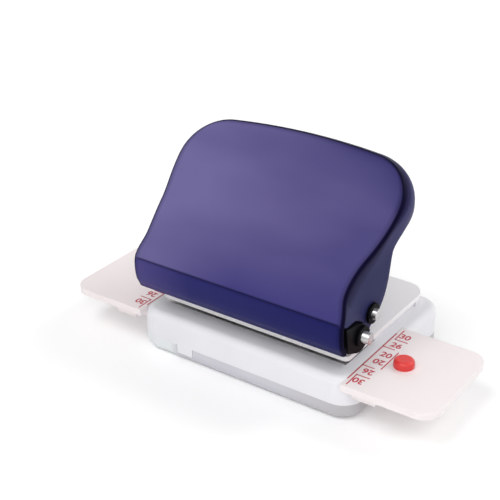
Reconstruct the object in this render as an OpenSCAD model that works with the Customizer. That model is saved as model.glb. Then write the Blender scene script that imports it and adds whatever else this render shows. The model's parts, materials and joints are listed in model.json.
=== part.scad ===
// Loose-leaf hole punch: a wide lever handle drives a row of punches through a slotted bed.
// Millimetres. X runs along the row of holes, +Y to the rear, +Z up.
// The origin lies on the table, below the middle of the row of holes.

/* [Row of holes] */
// Distance from one hole to the next
hole_pitch = 9.5; // [8.6:0.1:10.5]
// Diameter of a punched hole
hole_d = 5.5; // [4.5:0.1:5.9]
// Radial play of a punch in the plates that guide it
punch_play = 0.05; // [0.02:0.01:0.1]
// Diameter of a punch head
head_d = 7.2; // [6.8:0.1:7.8]
// Height of a punch head
head_h = 5.5; // [5:0.1:6.5]
// Height of the punch tips above the roof line of the throat, at rest
tip_lift = 0.15; // [0.05:0.05:0.5]
// Radius of the hollow ground across each punch tip
shear_r = 6; // [4:0.5:12]

/* [Springs] */
// Wire diameter of a return spring
wire_d = 0.6; // [0.4:0.05:0.8]
// Mean diameter of a return spring
coil_d = 6.9; // [6.7:0.1:7.5]
// Turns of a return spring
coil_turns = 3.5; // [2.5:0.5:4.5]

/* [Bed and plates] */
// Height of the paper bed above the table
bed_h = 13.3; // [12.5:0.1:18]
// Thickness of the die plate
die_t = 2; // [1.2:0.1:2.4]
// Distance from the row of holes to the front and rear edges of the die plate
die_reach = 8; // [7.6:0.1:8.6]
// Length of the die plate past the outer holes
die_margin = 6.2; // [4:0.1:7]
// Radial clearance of a die round its punch
die_play = 0.08; // [0.05:0.01:0.15]
// Height of the paper throat
throat_h = 1.6; // [1:0.1:2]
// Depth of the paper throat behind the row of holes
throat_depth = 6.5; // [5.5:0.1:7.2]
// Thickness of the upper plate
plate_t = 1.4; // [1.2:0.1:2]
// Distance from the row of holes to the front edge of the upper plate
plate_front = 9; // [8.8:0.1:10]
// Distance from the row of holes to the rear edge of the upper plate
plate_rear = 36; // [34:0.5:36.5]
// Radius of the front corners of the upper plate
plate_corner_r = 1.5; // [0.5:0.1:2.5]
// Radius of the rear corners of the upper plate
plate_rear_r = 6; // [2:0.5:8]
// Length of the upper plate past the pivot brackets
plate_margin = 1.8; // [1:0.1:4]
// Depth of the side seam between the upper plate and the base
seam_depth = 0.6; // [0.2:0.1:2]
// Distance from the row of holes to the rear end of the side seam
seam_end = 29; // [20:0.5:31]

/* [Base] */
// Distance from the row of holes to the front of the base
base_front = 15; // [14.6:0.1:17]
// Distance from the row of holes to the rear of the base
base_rear = 37; // [36:0.5:44]
// Length of the base past the upper plate
end_margin = 5; // [4:0.1:7]
// Plan corner radius of the base
base_corner_r = 6.5; // [4:0.5:8]
// Radius of the upper edges of the base
base_edge_r = 2.25; // [1:0.25:3.5]
// Wall thickness of the base
base_wall = 1.2; // [1:0.1:1.6]
// Thickness of the top of the base
base_top = 3.6; // [3.4:0.1:4]

/* [Chip tray] */
// Height of the chip tray
tray_h = 5; // [4:0.1:5.4]
// Floor thickness of the chip tray
tray_floor = 1.4; // [1:0.1:2]
// Wall thickness of the chip tray
tray_wall = 2.3; // [2.2:0.1:3]
// Radius of the lower edges of the chip tray
tray_edge_r = 3; // [1:0.25:3.5]
// Height of the rim that the base sits over
rim_h = 1.8; // [1:0.1:2.2]
// Play between the rim and the base
rim_play = 0.15; // [0.1:0.05:0.3]
// Width of a snap tab of the base in the tray wall
latch_w = 5.4; // [3:0.1:8]
// Height of a snap tab
latch_h = 2.6; // [1:0.1:2.8]
// Distance of the front snap tab from the middle, to the left
latch_x = 18.8; // [10:0.1:25]

/* [Guide plates] */
// Reach of a guide plate past the base
wing_out = 23.5; // [20:0.5:30]
// Width of a guide plate
wing_w = 33.2; // [30:0.2:36]
// Thickness of a guide plate
wing_t = 2; // [1.5:0.1:2.2]
// Radius of the outer corners of a guide plate
wing_corner_r = 5; // [2:0.5:8]
// Lap of a guide plate over the end of the base
wing_lap = 2.7; // [1:0.1:3.5]
// Width of a guide plate's runner
runner_w = 4; // [3:0.1:4.5]
// Height of a guide plate's runner
runner_t = 1.7; // [1.2:0.1:2]
// Distance of a runner from the row of holes
runner_y = 11.4; // [11:0.1:11.6]
// Length of a runner inside the base
runner_in = 21; // [16:0.5:24]
// Reach of the pads under a guide plate, past the base
runner_out = 7; // [2:0.5:10]
// Inset of the pads from the long edges of their guide plate
pad_inset = 1; // [0:0.1:3]
// Play of a runner in its channel
runner_play = 0.12; // [0.05:0.01:0.2]
// Wall of a runner's channel
channel_wall = 1.1; // [0.8:0.1:1.2]

/* [Index peg] */
// Diameter of the peg's head
peg_d = 5.6; // [5:0.1:6]
// Height of the peg's head
peg_h = 2.2; // [2:0.1:4]
// Radius of the peg's upper edge
peg_edge_r = 1; // [0.3:0.1:1.4]
// Diameter of the peg's shank
peg_shank_d = 3.8; // [3:0.1:4.2]
// Length of the peg's shank below the guide plate
peg_shank_out = 0.8; // [0.2:0.1:2]
// Radial play of the shank in its hole
peg_play = 0.05; // [0.02:0.01:0.1]

/* [Pins and pivots] */
// Diameter of the fulcrum pin and of the drive pin
pin_d = 3.2; // [2.6:0.1:3.2]
// Running play of a pin in its bores
pin_play = 0.05; // [0.02:0.01:0.1]
// Distance of the fulcrum pin in front of the row of holes
fulcrum_front = 7.6; // [7.4:0.1:7.8]
// Height of the fulcrum pin above the bed
fulcrum_h = 10.1; // [9.8:0.1:12]
// Angle of the line from the fulcrum pin up to the drive pin, at rest
drive_angle = 21; // [18:0.5:24]
// How far the drive pin swings behind the row of holes when level with the fulcrum
drive_lead = 0.3; // [0.2:0.05:0.4]
// Length of the fulcrum pin's ends past its clips
fulcrum_end = 2; // [0.5:0.1:3]
// Length of the drive pin's ends past its clips
drive_end = 1.2; // [0.5:0.1:3]
// Diameter of a retaining clip
clip_d = 5.8; // [5:0.1:6]
// Thickness of a retaining clip
clip_t = 0.8; // [0.5:0.1:1.2]
// Thickness of a pivot bracket
ear_t = 1.3; // [1:0.1:2]
// Radius of a pivot bracket round the fulcrum pin
ear_r = 3.5; // [3:0.1:3.6]
// Length of a pivot bracket's foot
foot_l = 13; // [10:0.5:16]
// Width of a pivot bracket's foot
foot_w = 4.4; // [4:0.1:4.6]
// Diameter of a bracket rivet's shank
rivet_d = 2; // [1.6:0.1:2.2]
// Side gap between neighbouring plates at a pivot
side_gap = 0.3; // [0.2:0.05:0.5]
// Diameter of a screw's shank
screw_d = 2.4; // [2:0.1:2.6]

/* [Lever frame] */
// Sheet thickness of the lever frame
lever_t = 1.2; // [1:0.1:1.6]
// Radius of a lever arm's foot round the fulcrum pin
lever_foot_r = 4.7; // [4:0.1:5]
// Radius of a lever arm round the drive pin
lever_drive_r = 3.4; // [3:0.1:3.8]
// Radius of the upper end of a lever arm
lever_top_r = 2.6; // [2:0.1:3]
// Slope of the lever frame's cross web
web_angle = 40; // [36:1:44]
// Width of the cross web along its slope
web_w = 11; // [9:0.5:12]
// Distance of the cover screws from the middle
cover_screw_x = 14; // [10:0.5:20]

/* [Handle cover] */
// Wall thickness of the handle cover
cover_t = 1.4; // [1:0.1:1.6]
// Extra half-width of the cover at its foot
foot_flare = 1.5; // [0:0.1:2]
// Extra half-width of the cover at its free end
top_flare = 3.4; // [0:0.1:5]
// Reach of the cover from the fulcrum pin up the face to the middle of the free edge
handle_reach = 46.2; // [44:0.1:50]
// Radius of the free corners of the cover
cover_corner_r = 14; // [8:0.5:15]
// Slope of the free edge where it meets a corner: the larger, the more it is crowned
crown_angle = 6.5; // [2:0.5:12]
// Depth of the wall along the free edge
rim_depth = 14; // [9:0.5:15]
// Slope of the cover's face
face_angle = 42; // [40:0.5:44]
// Radius of the groove along the crease
crease_r = 0.3; // [0.2:0.05:0.5]

/* [Hidden] */

$fn = 64;
cut = 1;
hole_count = 6;
row_half = hole_pitch * (hole_count - 1) / 2;

// Stations along X, from the row of holes outwards
head_gap = 0.55;
ear_x = row_half + head_d / 2 + head_gap;
arm_x = ear_x + ear_t + side_gap;
cover_in = arm_x + lever_t + side_gap;
waist_half = cover_in + cover_t;
foot_half = waist_half + foot_flare;
flare_half = waist_half + top_flare;
plate_half = ear_x + ear_t + plate_margin;
base_half = plate_half + end_margin;
die_half = row_half + die_margin;

// Heights
plate_z = bed_h + throat_h;
plate_top = plate_z + plate_t;
runner_z = bed_h - wing_t - runner_t;

// Pivots as (Y, Z)
pin_r = pin_d / 2;
fulcrum = [-fulcrum_front, bed_h + fulcrum_h];
drive_arm = fulcrum_front + drive_lead;
drive = fulcrum + drive_arm * [cos(drive_angle), sin(drive_angle)];
slot_half = max(drive_lead, -drive.x) + pin_r + 2 * pin_play;
slot_rise = pin_r + 2 * pin_play;
head_z = drive.y - head_h / 2;

// Plan of the base
base_w = base_front + base_rear;
base_mid = (base_rear - base_front) / 2;
screw_behind = 10.5;
screw_inset = 4;
screw_side = 1.5;
screw_y = [throat_depth + screw_behind, plate_rear - screw_inset];
screw_x = ear_x - screw_side;
screw_play = 0.15;
screw_head_r = 2.2;
screw_head_h = 1.4;
boss_r = 2.4;
boss_h = 1.6;
thread_play = 0.02;

// Feet and rivets of the pivot brackets
foot_setback = 0.4;
foot_front = plate_front - foot_setback;
foot_mid = -foot_front + foot_w / 2;
rivet_inset = 2.8;
rivet_x = [ear_x - foot_l + rivet_inset, ear_x - rivet_inset];
rivet_head_r = 1.7;
rivet_head_h = 0.8;

// Cross web of the lever frame, placed from the fulcrum pin
web_offset = [2.6, 10.9];
web_mid = fulcrum + web_offset;
web_dir = [cos(web_angle), sin(web_angle)];
arm_low = web_mid - (web_w / 2 - lever_top_r / 2) * web_dir;
arm_high = web_mid + (web_w / 2 - lever_top_r / 2) * web_dir;

// Foot of a lever arm as offsets from the fulcrum pin: its upper edge from the front to the rear
foot_edge = [[-7.3, 5.2], [-3.1, 4.5], [0, 3.7], [2.9, 1.5]];
foot_toe = [-6.1, -2.4];
foot_round = [-5, -115];
foot_steps = 12;

// Side profile of the handle cover, as offsets from the fulcrum pin. A pull is the offset of a curve's
// control point from the end it belongs to.
front_foot = [-7.9, -2.5];
foot_pull = [-1.5, 1.6];
crease = [-9.6, 7.2];
crease_pull = [-0.7, -3.8];
crease_slope = 66;
knee = [3.1, 20.7];
knee_slope = 29;
knee_pull = 6.5;
face_pull = 6;
face_high = [20.6, 35.7];
face_up = direction(face_angle);
face_in = [face_up.y, -face_up.x];
face_end = face_high + (handle_reach + cut - face_high * face_up) * face_up;
rim_end = face_end + rim_depth * face_in;
curve_steps = 10;
band = bezier(front_foot, front_foot + foot_pull, crease + crease_pull, crease);
lower_curve = bezier(
    crease, crease + face_pull * direction(crease_slope), knee - knee_pull * direction(knee_slope), knee
);
upper_curve = bezier(
    knee, knee + face_pull * direction(knee_slope), face_high - face_pull * face_up, face_high
);
rear_hip = [13.7, 19];
rear_heel = [6.8, -2.1];
rim_pull = [11.3, 8.4];
hip_rise_pull = [1.6, 3.6];
hip_drop_pull = [-0.7, -6];
heel_pull = [10.6, 3.6];
rear_upper = bezier(rim_end, rear_hip + rim_pull, rear_hip + hip_rise_pull, rear_hip);
rear_lower = bezier(rear_hip, rear_hip + hip_drop_pull, rear_heel + heel_pull, rear_heel);
wall_foot = [[3.1, 2], [0.1, 4.1], [-3, 4.9], [-7.7, 5.7]];

// Face outline of the handle cover, measured up the slope of the face from the fulcrum pin
crease_u = crease * face_up;
waist_rise = 8;
waist_u = crease_u + waist_rise;
corner_x = flare_half - cover_corner_r;
crown_r = corner_x / sin(crown_angle) + cover_corner_r;
crown_u = handle_reach - crown_r;
corner_u = crown_u + corner_x / tan(crown_angle);
outline_low = -30;
outline_steps = 12;

function direction(angle) = [cos(angle), sin(angle)];
function bezier(a, b, c, d) = [
    for (i = [0:curve_steps]) let (t = i / curve_steps, s = 1 - t)
        s * s * s * a + 3 * s * s * t * b + 3 * s * t * t * c + t * t * t * d
];
function arc(mid, r, from, to, steps) = [
    for (i = [0:steps]) mid + r * direction(from + (to - from) * i / steps)
];
function tail(list) = [for (i = [1:len(list) - 1]) list[i]];
function ease(t) = (1 - cos(180 * min(max(t, 0), 1))) / 2;
function cover_half(u) = u < waist_u
    ? foot_half + (waist_half - foot_half) * ease((u - crease_u) / (waist_u - crease_u))
    : waist_half + (flare_half - waist_half) * ease((u - waist_u) / (corner_u - waist_u));

// The face of the cover as one run of points, from its foot to its free end, moved inwards by a depth
function face_run(depth) = let (
    run = concat(band, tail(lower_curve), tail(upper_curve), [face_end]),
    last = len(run) - 1
) [
    for (i = [0:last]) let (
        ahead = run[min(i + 1, last)],
        behind = run[max(i - 1, 0)],
        along = (ahead - behind) / norm(ahead - behind)
    ) run[i] + depth * [along.y, -along.x]
];

// Half of the face outline, from the foot up to the middle of the free edge, moved inwards by a depth
function outline_half(depth) = concat(
    [[cover_half(outline_low) - depth, outline_low]],
    [for (i = [0:outline_steps]) let (u = crease_u + (corner_u - crease_u) * i / outline_steps)
        [cover_half(u) - depth, u]],
    tail(arc([corner_x, corner_u], cover_corner_r - depth, 0, 90 - crown_angle, outline_steps)),
    tail(arc([0, crown_u], crown_r - depth, 90 - crown_angle, 90, outline_steps / 2))
);
function flipped(list) = [for (i = [len(list) - 1:-1:0]) [-list[i].x, list[i].y]];

// Helix of a return spring: the middle of the wire, and the ring of points round it
coil_low = plate_top + wire_d / 2 + pin_play;
coil_high = head_z - wire_d / 2 - pin_play;
rings_per_turn = 8;
ring_sides = 6;
ring_count = coil_turns * rings_per_turn;
coil_pitch = (coil_high - coil_low) / coil_turns;
function coil_point(i) = let (a = 360 * i / rings_per_turn)
    [coil_d / 2 * cos(a), coil_d / 2 * sin(a), coil_low + coil_pitch * i / rings_per_turn];
function coil_ring(i) = let (
    a = 360 * i / rings_per_turn,
    radial = [cos(a), sin(a), 0],
    run = [-coil_d / 2 * sin(a), coil_d / 2 * cos(a), coil_pitch / 360 * 180 / PI],
    upward = cross(radial, run / norm(run))
) [
    for (k = [0:ring_sides - 1]) let (b = 360 * k / ring_sides)
        coil_point(i) + wire_d / 2 * (cos(b) * radial + sin(b) * upward)
];
coil_gap = min([
    for (i = [0:ring_count], j = [i + rings_per_turn / 2:1:ring_count])
        norm(coil_point(i) - coil_point(j))
]) - wire_d;
echo(least_gap_of_a_spring_to_itself = coil_gap);

// Shapes used by several pieces

// Rectangle with round corners, centred on the origin
module rounded_rect(size, r) {
    square([size.x - 2 * r, size.y], center = true);
    square([size.x, size.y - 2 * r], center = true);
    for (sx = [-1, 1], sy = [-1, 1])
        translate([sx * (size.x / 2 - r), sy * (size.y / 2 - r)]) circle(r);
}

// Bar with round ends between two points
module link(a, b, r) {
    run = b - a;
    translate(a) circle(r);
    translate(b) circle(r);
    translate(a) rotate(atan2(run.y, run.x)) translate([0, -r]) square([norm(run), 2 * r]);
}

// Lower half of a disc
module lower_disc(r) {
    intersection() {
        circle(r);
        translate([-r, -r]) square([2 * r, r]);
    }
}

// Profile with its two lower corners rounded, standing on the origin
module cradle(w, h, r) {
    translate([-w / 2, r]) square([w, h - r]);
    translate([-w / 2 + r, 0]) square([w - 2 * r, h]);
    for (s = [-1, 1]) translate([s * (w / 2 - r), r]) lower_disc(r);
}

// A profile drawn in Y and Z, run along X
module along_x(x0, x1) {
    translate([x0, 0, 0]) rotate([90, 0, 90]) linear_extrude(x1 - x0) children();
}

// A profile drawn in X and Z, run along Y
module along_y(y0, y1) {
    translate([0, y1, 0]) rotate([90, 0, 0]) linear_extrude(y1 - y0) children();
}

// Rod along X at a point of the Y and Z plane
module rod_x(at, r, x0, x1) {
    translate([x0, at.x, at.y]) rotate([0, 90, 0]) cylinder(r = r, h = x1 - x0);
}

module both_sides() {
    children();
    mirror([1, 0, 0]) children();
}

// Slab over the whole plan of the base, with its lower edges and corners rounded
module base_slab(h, edge_r) {
    r = min(edge_r, base_corner_r / 2);
    run_x = base_half - base_corner_r;
    run_y = base_w / 2 - base_corner_r;
    translate([0, base_mid, 0]) {
        along_x(-run_x, run_x) cradle(base_w, h, r);
        along_y(-run_y, run_y) cradle(2 * base_half, h, r);
        for (sx = [-1, 1], sy = [-1, 1]) translate([sx * run_x, sy * run_y, 0]) rotate_extrude() {
            translate([0, r]) square([base_corner_r, h - r]);
            square([base_corner_r - r, h]);
            translate([base_corner_r - r, r]) lower_disc(r);
        }
    }
}

// The plan of the base between two heights, moved inwards
module base_block(z0, z1, inset) {
    translate([0, base_mid, z0]) linear_extrude(z1 - z0)
        rounded_rect([2 * (base_half - inset), base_w - 2 * inset], base_corner_r - inset);
}

module at_screws() {
    for (x = [-screw_x, screw_x], y = screw_y) translate([x, y, 0]) children();
}

module at_rivets() {
    for (x = rivet_x) translate([x, foot_mid, 0]) children();
}

module at_holes() {
    for (i = [0:hole_count - 1]) translate([i * hole_pitch - row_half, 0, 0]) children();
}

// Cover screws stand square to the web, pointing at the cover's face
module at_cover_screws() {
    for (x = [-cover_screw_x, cover_screw_x])
        translate([x, web_mid.x, web_mid.y]) rotate([web_angle, 0, 0]) children();
}

// Solid pieces of the base

// Snap tabs of the base: one at the front left, one at the rear right
module latch_blocks(play, depth) {
    for (s = [-1, 1]) {
        y = s < 0 ? -base_front : base_rear - depth;
        translate([s * latch_x - latch_w / 2 - play, y, tray_h - latch_h - play])
            cube([latch_w + 2 * play, depth, latch_h + play]);
    }
}

module chip_tray() {
    color("gainsboro") difference() {
        union() {
            base_slab(tray_h, tray_edge_r);
            base_block(tray_floor, tray_h + rim_h, base_wall + rim_play);
        }
        base_block(tray_floor, tray_h + rim_h + cut, tray_wall);
        latch_blocks(rim_play, base_wall + rim_play);
    }
}

// Channels for the runners of the guide plates
module runner_channels(play, wall, x0, x1) {
    both_sides() for (y = [-runner_y, runner_y])
        translate([x0, y - runner_w / 2 - play - wall, runner_z - play - wall])
            cube([x1 - x0, runner_w + 2 * (play + wall), runner_t + 2 * play + wall]);
}

module base_body() {
    ledge = bed_h - base_top;
    channel_x = base_half - runner_in - runner_play;
    window_y = hole_d / 2 + cut;
    color("whitesmoke") difference() {
        union() {
            difference() {
                translate([0, 0, bed_h]) mirror([0, 0, 1]) base_slab(bed_h - tray_h, base_edge_r);
                base_block(0, ledge, base_wall);
            }
            intersection() {
                base_block(tray_h, ledge + runner_play, base_wall / 2);
                runner_channels(runner_play, channel_wall, channel_x - channel_wall, base_half);
            }
            at_screws() translate([0, 0, ledge - boss_h]) cylinder(r = boss_r, h = boss_h + runner_play);
            latch_blocks(0, base_wall);
        }
        translate([-die_half - runner_play, -die_reach - runner_play, bed_h - die_t])
            cube([2 * (die_half + runner_play), 2 * (die_reach + runner_play), die_t + cut]);
        translate([-row_half - hole_d, -window_y, 0]) cube([2 * (row_half + hole_d), 2 * window_y, bed_h]);
        runner_channels(runner_play, 0, channel_x, base_half + cut);
        both_sides() translate([base_half - wing_lap - runner_play, -base_front - cut, bed_h - wing_t])
            cube([wing_lap + cut, base_front + cut + wing_w / 2 + runner_play, wing_t + cut]);
        at_screws() cylinder(r = screw_d / 2 + screw_play, h = bed_h + cut);
    }
}

// Plates of the punch frame

module die_plate() {
    color("silver") difference() {
        translate([-die_half, -die_reach, bed_h - die_t]) cube([2 * die_half, 2 * die_reach, die_t]);
        at_holes() translate([0, 0, bed_h - die_t - cut])
            cylinder(r = hole_d / 2 + die_play, h = die_t + 2 * cut);
    }
}

// Outline of the upper plate, with small corners at the front and large ones at the rear
module plate_outline() {
    size = [2 * plate_half, plate_rear + plate_front];
    for (end = [[-1, plate_corner_r], [0, plate_rear_r]])
        translate([0, (plate_rear - plate_front) / 2]) intersection() {
            rounded_rect(size, end[1]);
            translate([-plate_half, end[0] * size.y / 2]) square([size.x, size.y / 2]);
        }
}

module throat_spacer() {
    spacer_half = plate_half - seam_depth;
    color("whitesmoke") difference() {
        translate([0, 0, bed_h]) linear_extrude(throat_h) intersection() {
            plate_outline();
            union() {
                translate([-spacer_half, throat_depth]) square([2 * spacer_half, plate_rear - throat_depth]);
                translate([-plate_half, seam_end]) square([2 * plate_half, plate_rear - seam_end]);
            }
        }
        at_screws() translate([0, 0, bed_h - cut])
            cylinder(r = screw_d / 2 + screw_play, h = throat_h + 2 * cut);
    }
}

module upper_plate() {
    thread_depth = plate_t * 2 / 3;
    color("lightgray") difference() {
        translate([0, 0, plate_z]) linear_extrude(plate_t) plate_outline();
        at_holes() translate([0, 0, plate_z - cut])
            cylinder(r = hole_d / 2 + punch_play, h = plate_t + 2 * cut);
        both_sides() at_rivets() translate([0, 0, plate_z - cut])
            cylinder(r = rivet_d / 2 + thread_play, h = plate_t + 2 * cut);
        at_screws() translate([0, 0, plate_z - cut])
            cylinder(r = screw_d / 2 + thread_play, h = thread_depth + cut);
    }
}

module frame_screws() {
    head_top = bed_h - base_top - boss_h;
    shank_top = plate_z + plate_t / 2;
    color("darkgray") at_screws() {
        translate([0, 0, head_top - screw_head_h]) cylinder(r = screw_head_r, h = screw_head_h);
        translate([0, 0, head_top - cut]) cylinder(r = screw_d / 2, h = shank_top - head_top + cut);
    }
}

// Right-hand pivot bracket: a foot on the upper plate and an ear round the fulcrum pin
module pivot_bracket() {
    color("gray") difference() {
        union() {
            translate([ear_x + ear_t - foot_l, -foot_front, plate_top]) cube([foot_l, foot_w, ear_t]);
            along_x(ear_x, ear_x + ear_t) {
                translate(fulcrum) circle(ear_r);
                polygon([
                    [-foot_front, plate_top], [-foot_front + foot_w, plate_top],
                    fulcrum + [ear_r, 0], fulcrum - [ear_r, 0]
                ]);
            }
        }
        rod_x(fulcrum, pin_r + pin_play, ear_x - cut, ear_x + ear_t + cut);
        at_rivets() translate([0, 0, plate_top - cut])
            cylinder(r = rivet_d / 2 + thread_play, h = ear_t + 2 * cut);
    }
}

module pivot_bracket_right() {
    pivot_bracket();
}

module pivot_bracket_left() {
    mirror([1, 0, 0]) pivot_bracket();
}

module bracket_rivets() {
    rivet_top = plate_top + ear_t;
    dome_r = (rivet_head_r * rivet_head_r + rivet_head_h * rivet_head_h) / (2 * rivet_head_h);
    color("silver") both_sides() at_rivets() {
        translate([0, 0, plate_z]) cylinder(r = rivet_d / 2, h = rivet_top - plate_z);
        intersection() {
            translate([0, 0, rivet_top + rivet_head_h - dome_r]) sphere(dome_r);
            translate([0, 0, rivet_top]) cylinder(r = rivet_head_r + cut, h = rivet_head_h + cut);
        }
    }
}

// Handle pieces

// Outline of the foot of a lever arm, seen below the edge of the cover's wall
module foot_outline() {
    translate(fulcrum) polygon(concat(
        foot_edge, arc([0, 0], lever_foot_r, foot_round[0], foot_round[1], foot_steps), [foot_toe]
    ));
}

// Outline of one lever arm: round the two pins and up to the web
module arm_outline() {
    foot_outline();
    link(fulcrum, drive, lever_drive_r);
    link(arm_low, arm_high, lever_top_r);
    link(fulcrum, arm_low, lever_top_r);
    link(drive, arm_high, lever_top_r);
    polygon([fulcrum, drive, arm_high, arm_low]);
}

module lever_frame() {
    color("black") difference() {
        union() {
            both_sides() {
                along_x(arm_x, arm_x + lever_t) arm_outline();
                along_x(arm_x, foot_half) foot_outline();
            }
            translate([0, web_mid.x, web_mid.y]) rotate([web_angle, 0, 0])
                translate([-arm_x - lever_t / 2, -web_w / 2, -lever_t / 2])
                    cube([2 * arm_x + lever_t, web_w, lever_t]);
        }
        for (at = [fulcrum, drive])
            rod_x(at, pin_r + thread_play, -foot_half - cut, foot_half + cut);
        at_cover_screws() cylinder(r = screw_d / 2 + screw_play, h = 2 * lever_t, center = true);
    }
}

// The cover without its hollow: the side profile cut by the outline of the face
module cover_solid() {
    intersection() {
        along_x(-flare_half - cut, flare_half + cut) translate(fulcrum) polygon(concat(
            face_run(0), tail(rear_upper), tail(rear_lower), wall_foot,
            [front_foot + [cover_t, 0]]
        ));
        cover_outline(0);
    }
}

// The outline of the face as a prism square to the face
module cover_outline(depth) {
    half = outline_half(depth);
    translate([0, fulcrum.x, fulcrum.y]) rotate([face_angle, 0, 0])
        linear_extrude(4 * face_high.y, center = true) polygon(concat(half, tail(flipped(half))));
}

// The hollow, open at the rear and below
module cover_hollow() {
    run = face_run(cover_t);
    low = rear_heel.y - 4 * cut;
    beyond = run[len(run) - 1] + rim_depth * face_up;
    behind = beyond + 3 * rim_depth * face_in;
    intersection() {
        along_x(-flare_half - cut, flare_half + cut) translate(fulcrum)
            polygon(concat([[run[0].x, low]], run, [beyond, behind, [behind.x, low]]));
        cover_outline(cover_t);
    }
}

module handle_cover() {
    clip_side = flare_half + cut;
    boss_low = lever_t / 2;
    color("darkslateblue") difference() {
        union() {
            difference() {
                cover_solid();
                cover_hollow();
            }
            intersection() {
                cover_solid();
                at_cover_screws() translate([0, 0, boss_low]) cylinder(r = boss_r, h = 3 * boss_r);
            }
        }
        rod_x(drive, pin_r + pin_play, -clip_side, clip_side);
        rod_x(fulcrum + crease, crease_r, -clip_side, clip_side);
        at_cover_screws() cylinder(r = screw_d / 2 + thread_play, h = boss_low + 2 * boss_r);
    }
}

module cover_screws() {
    shank_l = lever_t + 2 * boss_r - cut;
    color("darkgray") at_cover_screws() translate([0, 0, -lever_t / 2]) {
        translate([0, 0, -screw_head_h]) cylinder(r = screw_head_r, h = screw_head_h);
        cylinder(r = screw_d / 2, h = shank_l);
    }
}

// Where a clip's inner face lies: just clear of the widest part of the cover under it
function clip_x(at) = let (u = (at - fulcrum) * direction(face_angle))
    max([for (du = [-clip_d / 2, 0, clip_d / 2]) cover_half(u + du)]) + pin_play;

module pin_through(at, past_clip) {
    end = clip_x(at) + clip_t + past_clip;
    color("silver") rod_x(at, pin_r, -end, end);
}

module fulcrum_pin() {
    pin_through(fulcrum, fulcrum_end);
}

module drive_pin() {
    pin_through(drive, drive_end);
}

module clip_pair(at) {
    inner = clip_x(at);
    color("black") both_sides() difference() {
        rod_x(at, clip_d / 2, inner, inner + clip_t);
        rod_x(at, pin_r + thread_play, inner - cut, inner + clip_t + cut);
    }
}

module fulcrum_clips() {
    clip_pair(fulcrum);
}

module drive_clips() {
    clip_pair(drive);
}

// Punches and springs

// One punch: a shank with a hollow-ground tip, and a head with a cross slot for the drive pin
module punch(index) {
    tip_z = plate_z + tip_lift;
    color("silver") translate([(index - 1) * hole_pitch - row_half, 0, 0]) difference() {
        union() {
            translate([0, 0, tip_z]) cylinder(r = hole_d / 2, h = head_z + cut - tip_z);
            translate([0, 0, head_z]) cylinder(r = head_d / 2, h = head_h);
        }
        translate([0, 0, tip_z + shear_r / 10 - shear_r]) rotate([90, 0, 0])
            cylinder(r = shear_r, h = hole_d + cut, center = true);
        along_x(-head_d, head_d)
            link([slot_rise - slot_half, drive.y], [slot_half - slot_rise, drive.y], slot_rise);
    }
}

module punch_1() { punch(1); }
module punch_2() { punch(2); }
module punch_3() { punch(3); }
module punch_4() { punch(4); }
module punch_5() { punch(5); }
module punch_6() { punch(6); }

// One spring as an unbroken tube along its helix
module spring() {
    last = ring_count * ring_sides;
    points = [for (i = [0:ring_count]) each coil_ring(i)];
    sides = [
        for (i = [0:ring_count - 1], k = [0:ring_sides - 1]) let (
            a = i * ring_sides + k,
            b = i * ring_sides + (k + 1) % ring_sides
        ) each [[a, a + ring_sides, b], [b, a + ring_sides, b + ring_sides]]
    ];
    ends = [for (k = [1:ring_sides - 2]) each [[0, k, k + 1], [last, last + k + 1, last + k]]];
    polyhedron(points, concat(sides, ends));
}

module punch_springs() {
    color("lightsteelblue") at_holes() spring();
}

// Guide plates and peg

// Right-hand guide plate with its two runners and the pads that carry them
module guide_plate() {
    inner = base_half - wing_lap;
    length = wing_lap + wing_out;
    pad_w = wing_w / 2 - pad_inset - runner_y + runner_w / 2;
    color("mistyrose") difference() {
        union() {
            translate([inner, 0, bed_h - wing_t]) linear_extrude(wing_t) {
                translate([0, -wing_w / 2]) square([length - wing_corner_r, wing_w]);
                translate([length / 2, 0]) rounded_rect([length, wing_w], wing_corner_r);
            }
            for (s = [0, 1]) mirror([0, s, 0]) translate([base_half, runner_y - runner_w / 2, runner_z]) {
                translate([-runner_in, 0, 0]) cube([runner_in + runner_out, runner_w, runner_t]);
                translate([runner_play, 0, 0]) cube([runner_out - runner_play, pad_w, runner_t]);
            }
        }
        translate([row_half + 2 * hole_pitch, 0, bed_h - wing_t - cut])
            cylinder(r = peg_shank_d / 2 + peg_play, h = wing_t + 2 * cut);
    }
}

module guide_plate_right() {
    guide_plate();
}

module guide_plate_left() {
    mirror([1, 0, 0]) guide_plate();
}

module index_peg() {
    head_r = peg_d / 2;
    color("tomato") translate([row_half + 2 * hole_pitch, 0, bed_h]) {
        rotate_extrude() {
            square([head_r - peg_edge_r, peg_h]);
            square([head_r, peg_h - peg_edge_r]);
            translate([head_r - peg_edge_r, peg_h - peg_edge_r]) circle(peg_edge_r);
        }
        translate([0, 0, -wing_t - peg_shank_out])
            cylinder(r = peg_shank_d / 2, h = wing_t + peg_shank_out + cut);
    }
}

chip_tray();
base_body();
die_plate();
throat_spacer();
upper_plate();
frame_screws();
pivot_bracket_left();
pivot_bracket_right();
bracket_rivets();
lever_frame();
handle_cover();
cover_screws();
fulcrum_pin();
drive_pin();
fulcrum_clips();
drive_clips();
punch_1();
punch_2();
punch_3();
punch_4();
punch_5();
punch_6();
punch_springs();
guide_plate_left();
guide_plate_right();
index_peg();
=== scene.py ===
"""Looks of the loose-leaf punch: finishes, handle cover, springs, printed marks, light and camera."""
import json
import math

import bpy
import numpy as np
from mathutils import Matrix, Vector


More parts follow.
